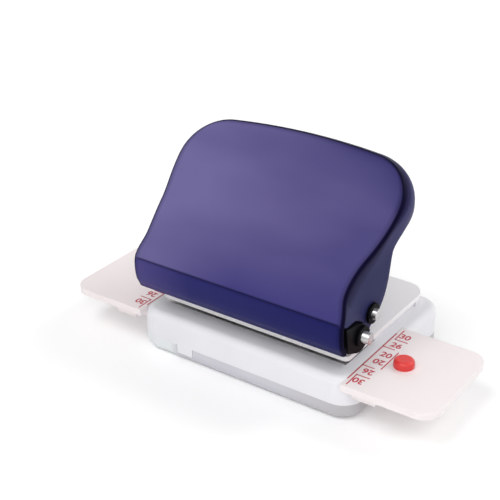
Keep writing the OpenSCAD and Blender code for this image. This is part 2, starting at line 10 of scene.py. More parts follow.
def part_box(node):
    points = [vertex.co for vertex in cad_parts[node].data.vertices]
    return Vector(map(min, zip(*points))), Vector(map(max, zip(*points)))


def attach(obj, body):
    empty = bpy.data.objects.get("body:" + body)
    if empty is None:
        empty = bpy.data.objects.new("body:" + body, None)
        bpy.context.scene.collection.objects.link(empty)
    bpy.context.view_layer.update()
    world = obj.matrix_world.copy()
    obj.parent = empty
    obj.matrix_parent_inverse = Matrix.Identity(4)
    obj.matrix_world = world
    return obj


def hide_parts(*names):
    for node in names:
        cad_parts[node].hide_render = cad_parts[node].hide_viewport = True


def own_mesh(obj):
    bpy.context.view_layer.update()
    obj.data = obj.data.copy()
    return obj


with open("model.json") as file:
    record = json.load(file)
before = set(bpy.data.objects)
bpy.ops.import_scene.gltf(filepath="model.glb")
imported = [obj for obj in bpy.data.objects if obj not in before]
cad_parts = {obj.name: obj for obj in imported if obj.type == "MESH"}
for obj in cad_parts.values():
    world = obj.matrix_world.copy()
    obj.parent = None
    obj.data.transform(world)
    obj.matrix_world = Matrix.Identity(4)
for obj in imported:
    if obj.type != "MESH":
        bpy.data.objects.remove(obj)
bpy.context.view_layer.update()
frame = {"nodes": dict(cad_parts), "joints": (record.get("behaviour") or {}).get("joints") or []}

MM = 0.001
PUNCH_COUNT = 6
PUNCHES = [f"punch_{k + 1}" for k in range(PUNCH_COUNT)]
scene = bpy.context.scene
scene.view_settings.view_transform = "Standard"

# Camera, fitted to the photograph: place and clipping in metres, focal length in pixels of its frame
CAMERA_AT = (0.149614, -0.216412, 0.171441)
CAMERA_AZIMUTH = math.radians(35.744)
CAMERA_ELEVATION = math.radians(27.386)
CAMERA_ROLL = math.radians(0.9)
CAMERA_CLIP = (0.01, 20)
FOCAL_PX = 1088.7
FRAME_PX = 500
SENSOR_MM = 36


def make_camera():
    """The camera at the photograph's place and angle."""
    data = bpy.data.cameras.new("camera")
    data.sensor_width = SENSOR_MM
    data.lens = FOCAL_PX / FRAME_PX * SENSOR_MM
    data.clip_start, data.clip_end = CAMERA_CLIP
    flat = math.cos(CAMERA_ELEVATION)
    back = Vector((
        math.sin(CAMERA_AZIMUTH) * flat, -math.cos(CAMERA_AZIMUTH) * flat, math.sin(CAMERA_ELEVATION)
    ))
    level = (-back).cross(Vector((0, 0, 1))).normalized()
    right = Matrix.Rotation(-CAMERA_ROLL, 3, back) @ level
    axes = Matrix((right, back.cross(right), back)).transposed()
    camera = bpy.data.objects.new("camera", data)
    camera.matrix_world = Matrix.Translation(CAMERA_AT) @ axes.to_4x4()
    scene.collection.objects.link(camera)
    scene.camera = camera


# Between these values lies most of the noise
NOISE_LOW = 0.3
NOISE_HIGH = 0.7

# Moulded plastic: noise in waves per metre, how far tone and gloss drift, depth of the grain in metres
TONE_WAVES = 28
TONE_STOPS = (0.35, 0.65)
GLOSS_WAVES = 120
GLOSS_DRIFT = (-0.05, 0.06)
GRAIN_WAVES = 900
GRAIN_BUMP = 0.08
GRAIN_DEPTH = 0.0001

# Steel: the same for its fine lines, which run along the row of holes or upright
LINE_WAVES = 700
LINE_DETAIL = 5.0
LINE_ROUGHNESS = 0.6
LINE_STOPS = (NOISE_LOW, NOISE_HIGH)
LINE_GLOSS_DRIFT = (-0.06, 0.1)
LINE_BUMP = 0.05
LINE_DEPTH = 0.00005
ALONG_ROW = (0.06, 1, 1)
UPRIGHT = (1, 1, 0.06)

# Places of the sockets for colours on a Mix node
MIX_FACTOR = 0
MIX_BELOW = 6
MIX_ABOVE = 7
MIX_RESULT = 2


def linear(red, green, blue):
    """An sRGB colour of 0 to 255 as the linear colour of a shader socket."""
    def curve(value):
        share = value / 255
        return share / 12.92 if share <= 0.04045 else ((share + 0.055) / 1.055) ** 2.4
    return (curve(red), curve(green), curve(blue), 1)


class Finish:
    """A node material under construction: one Principled shader and short helpers for what feeds it."""

    def __init__(self, name, **sockets):
        self.material = bpy.data.materials.new(name)
        self.material.use_nodes = True
        self.nodes = self.material.node_tree.nodes
        self.links = self.material.node_tree.links
        self.shader = self.nodes["Principled BSDF"]
        for socket, value in sockets.items():
            self.shader.inputs[socket.replace("_", " ")].default_value = value

    def node(self, kind, **settings):
        """A new node, with each setting put on its socket or property of that name."""
        made = self.nodes.new(kind)
        for key, value in settings.items():
            if key in made.inputs:
                made.inputs[key].default_value = value
            else:
                setattr(made, key, value)
        return made

    def noise(self, waves, detail=3.0, roughness=0.5, stretch=(1, 1, 1)):
        """Noise in the object's own metres, as a factor output."""
        place = self.node("ShaderNodeTexCoord")
        mapping = self.node("ShaderNodeMapping", Scale=stretch)
        grain = self.node("ShaderNodeTexNoise", Scale=waves, Detail=detail, Roughness=roughness)
        self.links.new(place.outputs["Object"], mapping.inputs["Vector"])
        self.links.new(mapping.outputs["Vector"], grain.inputs["Vector"])
        return grain.outputs["Fac"]

    def ramp(self, factor, *stops):
        """Colours along a factor, as (place, colour) stops."""
        ramp = self.node("ShaderNodeValToRGB")
        elements = ramp.color_ramp.elements
        while len(elements) < len(stops):
            elements.new(0.5)
        for element, (place, colour) in zip(elements, stops):
            element.position = place
            element.color = colour
        self.links.new(factor, ramp.inputs["Fac"])
        return ramp.outputs["Color"]

    def spread(self, factor, low, high, start=NOISE_LOW, end=NOISE_HIGH):
        """A factor between start and end, spread over a range of plain values."""
        made = self.node("ShaderNodeMapRange")
        for socket, value in {"From Min": start, "From Max": end, "To Min": low, "To Max": high}.items():
            made.inputs[socket].default_value = value
        self.links.new(factor, made.inputs["Value"])
        return made.outputs["Result"]

    def blend(self, factor, below, above):
        """Two colours, given as outputs or plain colours, mixed by a factor."""
        mix = self.node("ShaderNodeMix", data_type="RGBA")
        for socket, value in ((MIX_FACTOR, factor), (MIX_BELOW, below), (MIX_ABOVE, above)):
            if isinstance(value, bpy.types.NodeSocket):
                self.links.new(value, mix.inputs[socket])
            else:
                mix.inputs[socket].default_value = value
        return mix.outputs[MIX_RESULT]

    def attribute(self, name):
        """One of the mesh's own marks, as a factor."""
        return self.node("ShaderNodeAttribute", attribute_name=name).outputs["Fac"]

    def along(self, axis, span):
        """A factor from 0 to 1 along one axis of the object, between two places in millimetres."""
        place = self.node("ShaderNodeTexCoord")
        split = self.node("ShaderNodeSeparateXYZ")
        self.links.new(place.outputs["Object"], split.inputs["Vector"])
        start, end = span
        return self.spread(split.outputs[axis], 0, 1, start * MM, end * MM)

    def math(self, operation, first, second):
        """Two outputs joined by a Math node."""
        made = self.node("ShaderNodeMath", operation=operation)
        self.links.new(first, made.inputs[0])
        self.links.new(second, made.inputs[1])
        return made.outputs["Value"]

    def feed(self, socket, output):
        """Links an output to a socket of the shader."""
        self.links.new(output, self.shader.inputs[socket])

    def bump(self, height, strength, depth):
        """A fine relief of a depth in metres."""
        made = self.node("ShaderNodeBump", Strength=strength, Distance=depth)
        self.links.new(height, made.inputs["Height"])
        self.feed("Normal", made.outputs["Normal"])

    def drift(self, light, dark, waves):
        """A colour that drifts slowly between two tones."""
        return self.ramp(self.noise(waves), *zip(TONE_STOPS, (dark, light)))

    def moulded_skin(self, roughness, grain=GRAIN_WAVES, bump=GRAIN_BUMP):
        """A fine grain and a gloss that drifts."""
        gloss = [roughness + drift for drift in GLOSS_DRIFT]
        self.feed("Roughness", self.spread(self.noise(GLOSS_WAVES), *gloss))
        self.bump(self.noise(grain), bump, GRAIN_DEPTH)


def moulded(name, light, dark, roughness, grain=GRAIN_WAVES, bump=GRAIN_BUMP, **sockets):
    """Plain moulded plastic, or a coat or ink with a skin like it."""
    finish = Finish(name, **sockets)
    finish.feed("Base Color", finish.drift(light, dark, TONE_WAVES))
    finish.moulded_skin(roughness, grain, bump)
    return finish.material


def steel(name, light, dark, roughness, stretch):
    """Drawn or ground steel: fine lines along one direction."""
    finish = Finish(name, Metallic=1.0)
    lines = finish.noise(LINE_WAVES, LINE_DETAIL, LINE_ROUGHNESS, stretch)
    finish.feed("Base Color", finish.ramp(lines, *zip(LINE_STOPS, (dark, light))))
    gloss = [roughness + drift for drift in LINE_GLOSS_DRIFT]
    finish.feed("Roughness", finish.spread(lines, *gloss))
    finish.bump(lines, LINE_BUMP, LINE_DEPTH)
    return finish.material


# Plastic of the handle: its colours, where one turns into the next in millimetres, and its skin
# Painted light across the face: lighter at its left end, darker at its right
FACE_COLOURS = [(0.0, linear(105, 99, 147)), (0.5, linear(92, 85, 134)), (1.0, linear(74, 69, 120))]
FACE_LIGHT_X = (-36, 36)
# Soft reflections, painted as stretched clouds in the face's colour
REFLECTION_CLOUDS = {"waves": 42, "detail": 2.0, "roughness": 0.45, "stretch": (0.4, 1, 1.4)}
REFLECTION_CLOUD_REACH = 0.35
# Painted shade low on the face, fading out to the left
PAINTED_SHADE_COLOUR = linear(62, 58, 116)
PAINTED_SHADE_Z = (44, 31)
PAINTED_SHADE_X = (-28, 0)
# Painted shade towards the right-hand end of the free edge
PAINTED_EDGE_SHADE_COLOUR = linear(44, 41, 92)
# Painted shade on the band, which faces forward and down, darker to the right
BAND_SHADE_COLOURS = [(0.0, linear(76, 69, 126)), (0.3, linear(41, 40, 97)), (1.0, linear(28, 29, 86))]
# Painted shade on the side walls, lighter higher up
WALL_SHADE_COLOURS = (linear(44, 45, 85), linear(62, 60, 98))
WALL_SHADE_Z = (38, 52)
# Painted dark reflection and shade along the rounded edges, the crease and the band's side ends
EDGE_SHADE_COLOUR = linear(3, 1, 34)
HANDLE_GLOSS = (0.4, 0.52)
HANDLE_GLOSS_WAVES = 90
HANDLE_GRAIN_WAVES = 1100
HANDLE_BUMP = 0.05
HANDLE_DEPTH = 0.00008


def handle_plastic():
    """Satin violet plastic, its colour with painted light: lighter to the left, soft reflections painted as
    clouds, painted shade low on the face, on the band, on the walls and towards the right end of the free
    edge, and a near black painted reflection along the rounded edges.
    """
    finish = Finish("handle_plastic", Specular_IOR_Level=0.05)
    reflection_clouds = finish.spread(finish.noise(**REFLECTION_CLOUDS), -REFLECTION_CLOUD_REACH, REFLECTION_CLOUD_REACH)
    across = finish.along("X", FACE_LIGHT_X)
    tone = finish.ramp(finish.math("ADD", reflection_clouds, across), *FACE_COLOURS)
    painted_shade = finish.math("MULTIPLY", finish.along("Z", PAINTED_SHADE_Z), finish.along("X", PAINTED_SHADE_X))
    tone = finish.blend(painted_shade, tone, PAINTED_SHADE_COLOUR)
    # Painted shade on the marked parts, and a near black painted reflection along the rounded edges
    marked = {
        "painted_edge_shade": PAINTED_EDGE_SHADE_COLOUR,
        "band": finish.ramp(across, *BAND_SHADE_COLOURS),
        "wall": finish.blend(finish.along("Z", WALL_SHADE_Z), *WALL_SHADE_COLOURS),
        "edge": EDGE_SHADE_COLOUR,
    }
    for mark, colour in marked.items():
        tone = finish.blend(finish.attribute(mark), tone, colour)
    finish.feed("Base Color", tone)
    finish.feed("Roughness", finish.spread(finish.noise(HANDLE_GLOSS_WAVES), *HANDLE_GLOSS))
    finish.bump(finish.noise(HANDLE_GRAIN_WAVES), HANDLE_BUMP, HANDLE_DEPTH)
    return finish.material


# What the guide plates and the chip tray share
MILKY = {
    "IOR": 1.49,
    "Subsurface_Weight": 0.15,
    "Subsurface_Radius": (0.004, 0.0035, 0.0035),
    "Subsurface_Scale": 1.0,
}
# Painted shade and light on the tray: axis, where each starts and where it is full in millimetres, and its
# colour
TRAY_PAINTED_SHADE_AND_LIGHT = [
    ("Z", (3.6, 2.4), linear(200, 200, 208)),
    ("X", (12, 34), linear(190, 188, 191)),
    ("X", (-21, -24), linear(230, 234, 236)),
]
TRAY_WAVES = 60


def guide_plastic():
    """Frosted plastic of the guide plates, nearly white with a warm tinge."""
    return moulded(
        "guide_plastic", linear(248, 239, 239), linear(244, 233, 234), roughness=0.4,
        Transmission_Weight=0.08, **MILKY
    )


def tray_plastic():
    """Milky plastic of the chip tray, with painted shade greyer at its lower edge and right end, and painted
    light pale at its left end.
    """
    finish = Finish("tray_plastic", Transmission_Weight=0.06, **MILKY)
    tone = finish.drift(linear(211, 209, 216), linear(206, 205, 213), TRAY_WAVES)
    for axis, span, colour in TRAY_PAINTED_SHADE_AND_LIGHT:
        tone = finish.blend(finish.along(axis, span), tone, colour)
    finish.feed("Base Color", tone)
    finish.moulded_skin(roughness=0.34)
    return finish.material


def make_materials():
    """All finishes of the object, by short names."""
    return {
        "handle": handle_plastic(),
        "white": moulded("white_plastic", linear(233, 232, 236), linear(226, 226, 230), roughness=0.36),
        "plate": moulded(
            "plate_coat", linear(248, 246, 247), linear(243, 241, 243), roughness=0.42, grain=700, bump=0.015
        ),
        "tray": tray_plastic(),
        "wing": guide_plastic(),
        "peg": moulded(
            "peg_plastic", linear(228, 58, 54), linear(216, 46, 46), roughness=0.4, Subsurface_Weight=0.1
        ),
        "print": moulded(
            "mark_ink", linear(196, 62, 78), linear(178, 48, 66), roughness=0.55, grain=2500, bump=0.05
        ),
        "black": moulded(
            "black_coat", linear(13, 13, 17), linear(7, 7, 10), roughness=0.45, grain=1400, bump=0.1,
            Specular_IOR_Level=0.04
        ),
        "steel": steel(
            "bright_steel", linear(206, 205, 204), linear(176, 176, 178), roughness=0.26, stretch=ALONG_ROW
        ),
        "punch_steel": steel(
            "ground_steel", linear(196, 196, 198), linear(160, 160, 164), roughness=0.24, stretch=UPRIGHT
        ),
        "spring_steel": steel(
            "spring_steel", linear(190, 190, 194), linear(150, 150, 156), roughness=0.3, stretch=UPRIGHT
        ),
    }


# Which finish each kept CAD node takes
NODE_FINISH = {
    "chip_tray": "tray", "base_body": "white", "die_plate": "steel", "throat_spacer": "white",
    "upper_plate": "plate", "frame_screws": "steel", "pivot_bracket_left": "black",
    "pivot_bracket_right": "black", "bracket_rivets": "steel", "lever_frame": "black",
    "cover_screws": "steel", "fulcrum_pin": "steel", "drive_pin": "steel", "fulcrum_clips": "black",
    "drive_clips": "black", "guide_plate_left": "wing", "guide_plate_right": "wing", "index_peg": "peg",
    **dict.fromkeys(PUNCHES, "punch_steel"),
}
# Edge rounding of kept nodes in millimetres, and the least angle in degrees of an edge that gets it
EDGE_ROUND = {
    "upper_plate": 0.2, "guide_plate_left": 0.35, "guide_plate_right": 0.35, "throat_spacer": 0.15,
    "lever_frame": 0.15, "pivot_bracket_left": 0.15, "pivot_bracket_right": 0.15, "fulcrum_pin": 0.3,
    "drive_pin": 0.3, "fulcrum_clips": 0.15, "drive_clips": 0.15, "die_plate": 0.1,
}
EDGE_ANGLE = 50
EDGE_SEGMENTS = 2
WELD_GAP = 0.002


def dress_nodes(finishes):
    """Gives every kept node its finish, joins its doubled points and softens its edges."""
    for name, key in NODE_FINISH.items():
        node = frame["nodes"][name]
        node.data.materials.clear()
        node.data.materials.append(finishes[key])
        weld = node.modifiers.new("weld", "WELD")
        weld.merge_threshold = WELD_GAP * MM
        if name in EDGE_ROUND:
            bevel = node.modifiers.new("edges", "BEVEL")
            bevel.width = EDGE_ROUND[name] * MM
            bevel.segments = EDGE_SEGMENTS
            bevel.limit_method = "ANGLE"
            bevel.angle_limit = math.radians(EDGE_ANGLE)


# Side view of the handle cover, in millimetres and degrees. Points are offsets from the fulcrum pin, to the
# rear and up. A pull is the offset of a curve's control point from the end it belongs to.
FACE_ANGLE = 42
FRONT_FOOT = np.array([-7.9, -2.5])
FOOT_PULL = [-1.5, 1.6]
CREASE = np.array([-9.6, 7.2])
CREASE_PULL = [-0.7, -3.8]
CREASE_SLOPE = 66
KNEE = np.array([3.1, 20.7])
KNEE_SLOPE = 29
KNEE_PULL = 6.5
FACE_HIGH = np.array([20.6, 35.7])
FACE_PULL = 6
REAR_HIP = np.array([13.7, 19])
REAR_HEEL = np.array([6.8, -2.1])
RIM_PULL = [11.3, 8.4]
HIP_RISE_PULL = [1.6, 3.6]
HIP_DROP_PULL = [-0.7, -6]
HEEL_PULL = [10.6, 3.6]
WALL_FOOT = [[3.1, 2], [0.1, 4.1], [-3, 4.9]]
WALL_TOE = np.array([-7.7, 5.7])
BAND_FOOT = np.array([-6.5, -2.5])

# Its outline, square to the face: reach up the slope, how far the side view runs past that, half widths,
# corners and the slope of the crown
HANDLE_REACH = 46.2
FACE_OVERRUN = 3
RIM_OVERRUN = 1
FOOT_HALF = 33.9
WAIST_HALF = 32.4
WAIST_RISE = 8
FLARE_HALF = 35.8
CORNER_R = 14
CROWN_ANGLE = math.radians(6.5)

# Its skin: thickness, walls, rounded edge, groove of the crease and swelling along the free edge
COVER_T = 1.4
RIM_DEPTH = 14
WALL_MIN = 1.6 * COVER_T
WALL_BLEND = 0.2
EDGE_R = 0.9
CREASE_DEPTH = 0.35
CREASE_W = 0.26
BULGE = 1.2
BULGE_U = (24, 36)
BULGE_SKEW = 0.7

# Its screw bosses: place, slope, radius, and where they start and end along the screw
BOSS_X = 14
BOSS_AT = np.array([2.6, 10.9])
BOSS_SLOPE = 40
BOSS_R = 2.4
BOSS_REACH = (0.62, 6.8)

# Its marks for the finish: shares from 0 to 1, and the lengths over which they fade. The crease and edge
# shares paint dark reflection and shade; the last three paint shade towards the right-hand end of the free
# edge
CREASE_SHADE = 0.68
FACE_EDGE_SHADE = 0.35
WALL_EDGE_SHADE = 0.5
BAND_FADE = (-0.3, 0.6)
PAINTED_EDGE_SHADE_TONE = 0.75
PAINTED_EDGE_SHADE_W = 4
PAINTED_EDGE_SHADE_X = (-5, 22)

# Its mesh: steps along curves, rows up the face, columns across it and lines round its edge. The rows at
# the crease are counted in widths of its groove.
CURVE_STEPS = 40
SLOPE_SPAN = 0.4
BAND_ROWS = 6
CREASE_ROWS = (-4, -2.4, -1.4, -0.7, 0, 0.7, 1.4, 2.4, 4)
LOWER_ROWS = 5
UPPER_ROWS = 24
HEEL_STEP = 0.06
CORNER_ROWS = 10
CORNER_TURN = 50
CROWN_FROM = 0.45
COVER_COLUMNS = 56
FILLET_STEPS = 4
WALL_STEPS = 8
RIM_STEPS = 6
BOSS_SIDES = 24


def direction(degrees):
    """Unit vector at an angle."""
    return np.array([math.cos(math.radians(degrees)), math.sin(math.radians(degrees))])


FACE_UP = direction(FACE_ANGLE)
FACE_IN = np.array([FACE_UP[1], -FACE_UP[0]])


def bezier(a, b, c, d):
    """Points along a curve from a to d, with control points b and c."""
    t = np.linspace(0, 1, CURVE_STEPS)[:, None]
    s = 1 - t
    return s ** 3 * a + 3 * s * s * t * b + 3 * s * t * t * c + t ** 3 * d


def step(value, low, high):
    """Smooth rise from 0 to 1 between two values."""
    share = np.clip((value - low) / (high - low), 0, 1)
    return float(share * share * (3 - 2 * share))


def half_wave(share):
    """Rise from 0 to 1 along half a cosine wave."""
    return (1 - math.cos(math.pi * min(max(share, 0), 1))) / 2


class Cover:
    """The cover's face as a line in the side view, its outline seen square to the face, and its rear rim.

    u is the distance up the slope of the face from the fulcrum pin."""

    def __init__(self):
        self.trace_face()
        self.trace_rear()
        self.crease_u = CREASE @ FACE_UP
        self.wall_u = WALL_TOE @ FACE_UP
        self.corner_x = FLARE_HALF - CORNER_R
        self.crown_r = self.corner_x / math.sin(CROWN_ANGLE) + CORNER_R
        self.crown_u = HANDLE_REACH - self.crown_r
        self.corner_u = self.crown_u + self.corner_x / math.tan(CROWN_ANGLE)

    def past_reach(self, overrun):
        """Point on the straight upper part of the face, a little past the free edge."""
        return FACE_HIGH + (HANDLE_REACH + overrun - FACE_HIGH @ FACE_UP) * FACE_UP

    def trace_face(self):
        """The front from the foot up: band, lower curve, upper curve and straight end."""
        at_crease, at_knee = direction(CREASE_SLOPE), direction(KNEE_SLOPE)
        band = bezier(FRONT_FOOT, FRONT_FOOT + FOOT_PULL, CREASE + CREASE_PULL, CREASE)
        lower = bezier(CREASE, CREASE + FACE_PULL * at_crease, KNEE - KNEE_PULL * at_knee, KNEE)
        upper = bezier(KNEE, KNEE + FACE_PULL * at_knee, FACE_HIGH - FACE_PULL * FACE_UP, FACE_HIGH)
        self.face = np.vstack([band, lower[1:], upper[1:], self.past_reach(FACE_OVERRUN)])
        self.face_u = self.face @ FACE_UP
        self.foot_u = self.face_u[0]

    def trace_rear(self):
        """The rear edge of the walls from the foot up, as depths square to the slope of the face."""
        rim_end = self.past_reach(RIM_OVERRUN) + RIM_DEPTH * FACE_IN
        upper = bezier(rim_end, REAR_HIP + RIM_PULL, REAR_HIP + HIP_RISE_PULL, REAR_HIP)
        lower = bezier(REAR_HIP, REAR_HIP + HIP_DROP_PULL, REAR_HEEL + HEEL_PULL, REAR_HEEL)
        rear = np.vstack([upper, lower[1:], WALL_FOOT, WALL_TOE, BAND_FOOT])[::-1]
        self.rear_u = np.maximum.accumulate(rear @ FACE_UP)
        self.rear_depth = rear @ FACE_IN

    def point(self, u):
        """Point of the face in the side view."""
        return np.array([np.interp(u, self.face_u, self.face[:, k]) for k in (0, 1)])

    def inward(self, u):
        """Direction square to the face, into the cover."""
        along = self.point(u + SLOPE_SPAN) - self.point(u - SLOPE_SPAN)
        along /= np.linalg.norm(along)
        return np.array([along[1], -along[0]])

    def rim(self, u, back):
        """Point of the wall's rear edge, moved back by a distance: on the band, one skin deep."""
        at = self.point(u)
        depth = max(np.interp(u, self.rear_u, self.rear_depth) - at @ FACE_IN, WALL_MIN)
        on_wall = step(u, self.wall_u - WALL_BLEND, self.wall_u + WALL_BLEND)
        wall = (depth + back) * FACE_IN
        band = (COVER_T + back) * self.inward(u)
        return at + on_wall * wall + (1 - on_wall) * band

    def half(self, u):
        """Half the width of the face below its corners."""
        waist_u = self.crease_u + WAIST_RISE
        if u < waist_u:
            return FOOT_HALF + (WAIST_HALF - FOOT_HALF) * half_wave((u - self.crease_u) / WAIST_RISE)
        return WAIST_HALF + (FLARE_HALF - WAIST_HALF) * half_wave((u - waist_u) / (self.corner_u - waist_u))

    def corner(self, inset, degrees):
        """Point (x, u) of the right-hand corner."""
        x, u = (CORNER_R - inset) * direction(degrees)
        return self.corner_x + x, self.corner_u + u

    def side(self, row, inset):
        """Point (x, u) of the right-hand side: row is a height u, or an angle round the corner."""
        kind, value = row
        if kind == "angle":
            return self.corner(inset, value)
        return self.half(value) - inset, value

    def top(self, x, inset):
        """Height u of the free edge over a place along the row of holes."""
        r = CORNER_R - inset
        if abs(x) > self.corner_x + r * math.sin(CROWN_ANGLE):
            return self.corner_u + math.sqrt(max(r * r - (abs(x) - self.corner_x) ** 2, 0))
        return self.crown_u + math.sqrt((self.crown_r - inset) ** 2 - x * x)

    def outward(self, x, u):
        """Direction (x, u) square to the outline, away from the face."""
        side = math.copysign(1, x)
        if u <= self.corner_u:
            return np.array([side, 0])
        in_corner = abs(x) > self.corner_x + CORNER_R * math.sin(CROWN_ANGLE)
        middle = [side * self.corner_x, self.corner_u] if in_corner else [0, self.crown_u]
        away = np.array([x, u]) - middle
        return away / np.linalg.norm(away)

    def groove(self, u):
        """Depth of the thin groove along the crease."""
        return CREASE_DEPTH * math.exp(-((u - self.crease_u) / CREASE_W) ** 2)

    def rows(self):
        """Stations up the right-hand side: heights up to the corner, then angles round it."""
        fine = [self.crease_u + CREASE_W * k for k in CREASE_ROWS]
        heel = REAR_HEEL @ FACE_UP
        heights = [
            *np.linspace(self.foot_u, fine[0], BAND_ROWS)[:-1],
            *fine,
            *np.linspace(fine[-1], heel - HEEL_STEP, LOWER_ROWS)[1:],
            *np.linspace(heel + HEEL_STEP, self.corner_u, UPPER_ROWS),
        ]
        angles = np.linspace(0, CORNER_TURN, CORNER_ROWS)[1:]
        return [("height", u) for u in heights] + [("angle", turn) for turn in angles]


class CoverMesh:
    """The cover as one closed skin, from face over rounded edge, wall and rim to inside, and its bosses."""

    def __init__(self):
        self.cover = Cover()
        self.rows = self.cover.rows()
        self.points, self.faces = [], []
        self.marks = {"edge": [], "wall": [], "band": [], "painted_edge_shade": []}
        self.build()

    def add(self, x, side, edge=0, wall=0, band=0, painted_edge_shade=0):
        """Adds a point, given along the row and in the side view, with its marks."""
        self.points.append((x, side[0], side[1]))
        for name, value in (("edge", edge), ("wall", wall), ("band", band), ("painted_edge_shade", painted_edge_shade)):
            self.marks[name].append(value)
        return len(self.points) - 1

    def painted_edge_shade(self, x, u):
        """How much painted shade darkens the face towards the right-hand end of its free edge."""
        gap = max(self.cover.top(x, EDGE_R) - u, 0)
        return PAINTED_EDGE_SHADE_TONE * math.exp(-gap / PAINTED_EDGE_SHADE_W) * step(x, *PAINTED_EDGE_SHADE_X)

    def band_share(self, u):
        """1 on the band below the crease, and 0 above it."""
        low, high = (self.cover.crease_u + fade for fade in BAND_FADE)
        return 1 - step(u, low, high)

    def outline(self, inset):
        """Left side from the foot up, along the free edge, and down the right side, as (x, u)."""
        cover = self.cover
        right = [cover.side(row, inset) for row in self.rows]
        reach = right[-1][0]
        across = [reach * (2 * k / COVER_COLUMNS - 1) for k in range(1, COVER_COLUMNS)]
        left = [(-x, u) for x, u in right]
        return left + [(x, cover.top(x, inset)) for x in across] + right[::-1]

    def skin(self, inset, depth, edge):
        """A grid over the whole face, at a depth below it."""
        cover = self.cover
        last = len(self.rows) - 1
        reach, top_u = cover.side(self.rows[-1], inset)
        grid = []
        for i, row in enumerate(self.rows):
            half, side_u = cover.side(row, inset)
            lift = step(i / last, CROWN_FROM, 1)
            line = []
            for k in range(COVER_COLUMNS + 1):
                share = 2 * k / COVER_COLUMNS - 1
                u = side_u + lift * (cover.top(share * reach, inset) - top_u)
                groove = cover.groove(u)
                at_border = k in (0, COVER_COLUMNS) or i == last
                # The border and the crease groove take the edge mark: painted dark reflection and shade
                line.append(self.add(
                    share * half, cover.point(u) + (depth + groove) * cover.inward(u),
                    edge=edge if at_border else CREASE_SHADE * groove / CREASE_DEPTH,
                    band=self.band_share(u), painted_edge_shade=self.painted_edge_shade(share * half, u)
                ))
            grid.append(line)
        return grid

    def border(self, grid):
        """The border of a grid in the order of the outline."""
        return [line[0] for line in grid] + grid[-1][1:-1] + [line[-1] for line in grid[::-1]]

    def loop(self, inset, place, edge=0, wall=0):
        """A line round the outline, with each point where place puts it in the side view."""
        return [
            self.add(x, place(u), edge=edge, wall=wall, band=self.band_share(u))
            for x, u in self.outline(inset)
        ]

    def fillet(self, k):
        """A line of the rounded edge between face and wall."""
        cover = self.cover
        turn = math.pi / 2 * k / FILLET_STEPS
        drop = EDGE_R * (1 - math.cos(turn))
        # The rounded edge takes the edge mark in full: painted dark reflection
        return self.loop(
            EDGE_R * (1 - math.sin(turn)),
            lambda u: cover.point(u) + (drop + cover.groove(u)) * cover.inward(u),
            edge=1
        )

    def wall(self, k):
        """A line round the wall, which swells along the free edge."""
        cover = self.cover
        share = k / WALL_STEPS
        swell = BULGE * math.sin(math.pi * share ** BULGE_SKEW)
        line = []
        for x, u in self.outline(0):
            start = cover.point(u) + EDGE_R * cover.inward(u)
            side = start + share * (cover.rim(u, -COVER_T / 2) - start)
            out = swell * step(u, *BULGE_U) * cover.outward(x, u)
            # Painted shade: dark on the first line of the wall, and on the band's side end
            edge = max(WALL_EDGE_SHADE if k == 1 else 0, self.band_share(u))
            line.append(self.add(x + out[0], side + out[1] * FACE_UP, edge=edge, wall=1))
        return line

    def rear_rim(self, k):
        """A line of the round rear edge, from the outside of the wall to its inside."""
        half_t = COVER_T / 2
        turn = math.pi * k / RIM_STEPS
        back = half_t * (math.sin(turn) - 1)
        return self.loop(half_t * (1 - math.cos(turn)), lambda u: self.cover.rim(u, back), wall=1)

    def strip(self, first, second):
        """Faces between two lines of points."""
        for k in range(len(first) - 1):
            self.faces.append((first[k], first[k + 1], second[k + 1], second[k]))

    def boss(self, x):
        """A round boss on the inside of the skin, over a cover screw."""
        across, along = direction(BOSS_SLOPE), direction(BOSS_SLOPE + 90)
        turns = [2 * math.pi * k / BOSS_SIDES for k in range(BOSS_SIDES)]
        low, high = (
            [
                self.add(
                    x + BOSS_R * math.cos(turn),
                    BOSS_AT + reach * along + BOSS_R * math.sin(turn) * across,
                    wall=1
                )
                for turn in turns
            ]
            for reach in BOSS_REACH
        )
        self.strip(low + low[:1], high + high[:1])
        self.faces += [tuple(low[::-1]), tuple(high)]

    def build(self):
        """All points and faces."""
        outer = self.skin(EDGE_R, 0, FACE_EDGE_SHADE)
        loops = [self.border(outer)]
        rounds = ((self.fillet, FILLET_STEPS), (self.wall, WALL_STEPS), (self.rear_rim, RIM_STEPS))
        for line, steps in rounds:
            loops += [line(k) for k in range(1, steps + 1)]
        inner = self.skin(COVER_T, COVER_T, 0)
        loops.append(self.border(inner))
        for first, second in zip(loops, loops[1:]):
            self.strip(first, second)
        for low, high in zip(outer, outer[1:]):
            self.strip(low, high)
        for low, high in zip(inner, inner[1:]):
            self.strip(high, low)
        self.strip(inner[0], outer[0])
        self.faces.append(tuple(loop[0] for loop in loops))
        self.faces.append(tuple(loop[-1] for loop in loops)[::-1])
        for x in (-BOSS_X, BOSS_X):
            self.boss(x)


def new_piece(name, points, faces, finish, smooth=True):
    """A mesh object from points in metres."""
    mesh = bpy.data.meshes.new(name)
    mesh.from_pydata([tuple(p) for p in points], [], faces)
    mesh.validate()
    mesh.materials.append(finish)
    mesh.polygons.foreach_set("use_smooth", [smooth] * len(mesh.polygons))
    mesh.update()
    piece = bpy.data.objects.new(name, mesh)
    scene.collection.objects.link(piece)
    return piece


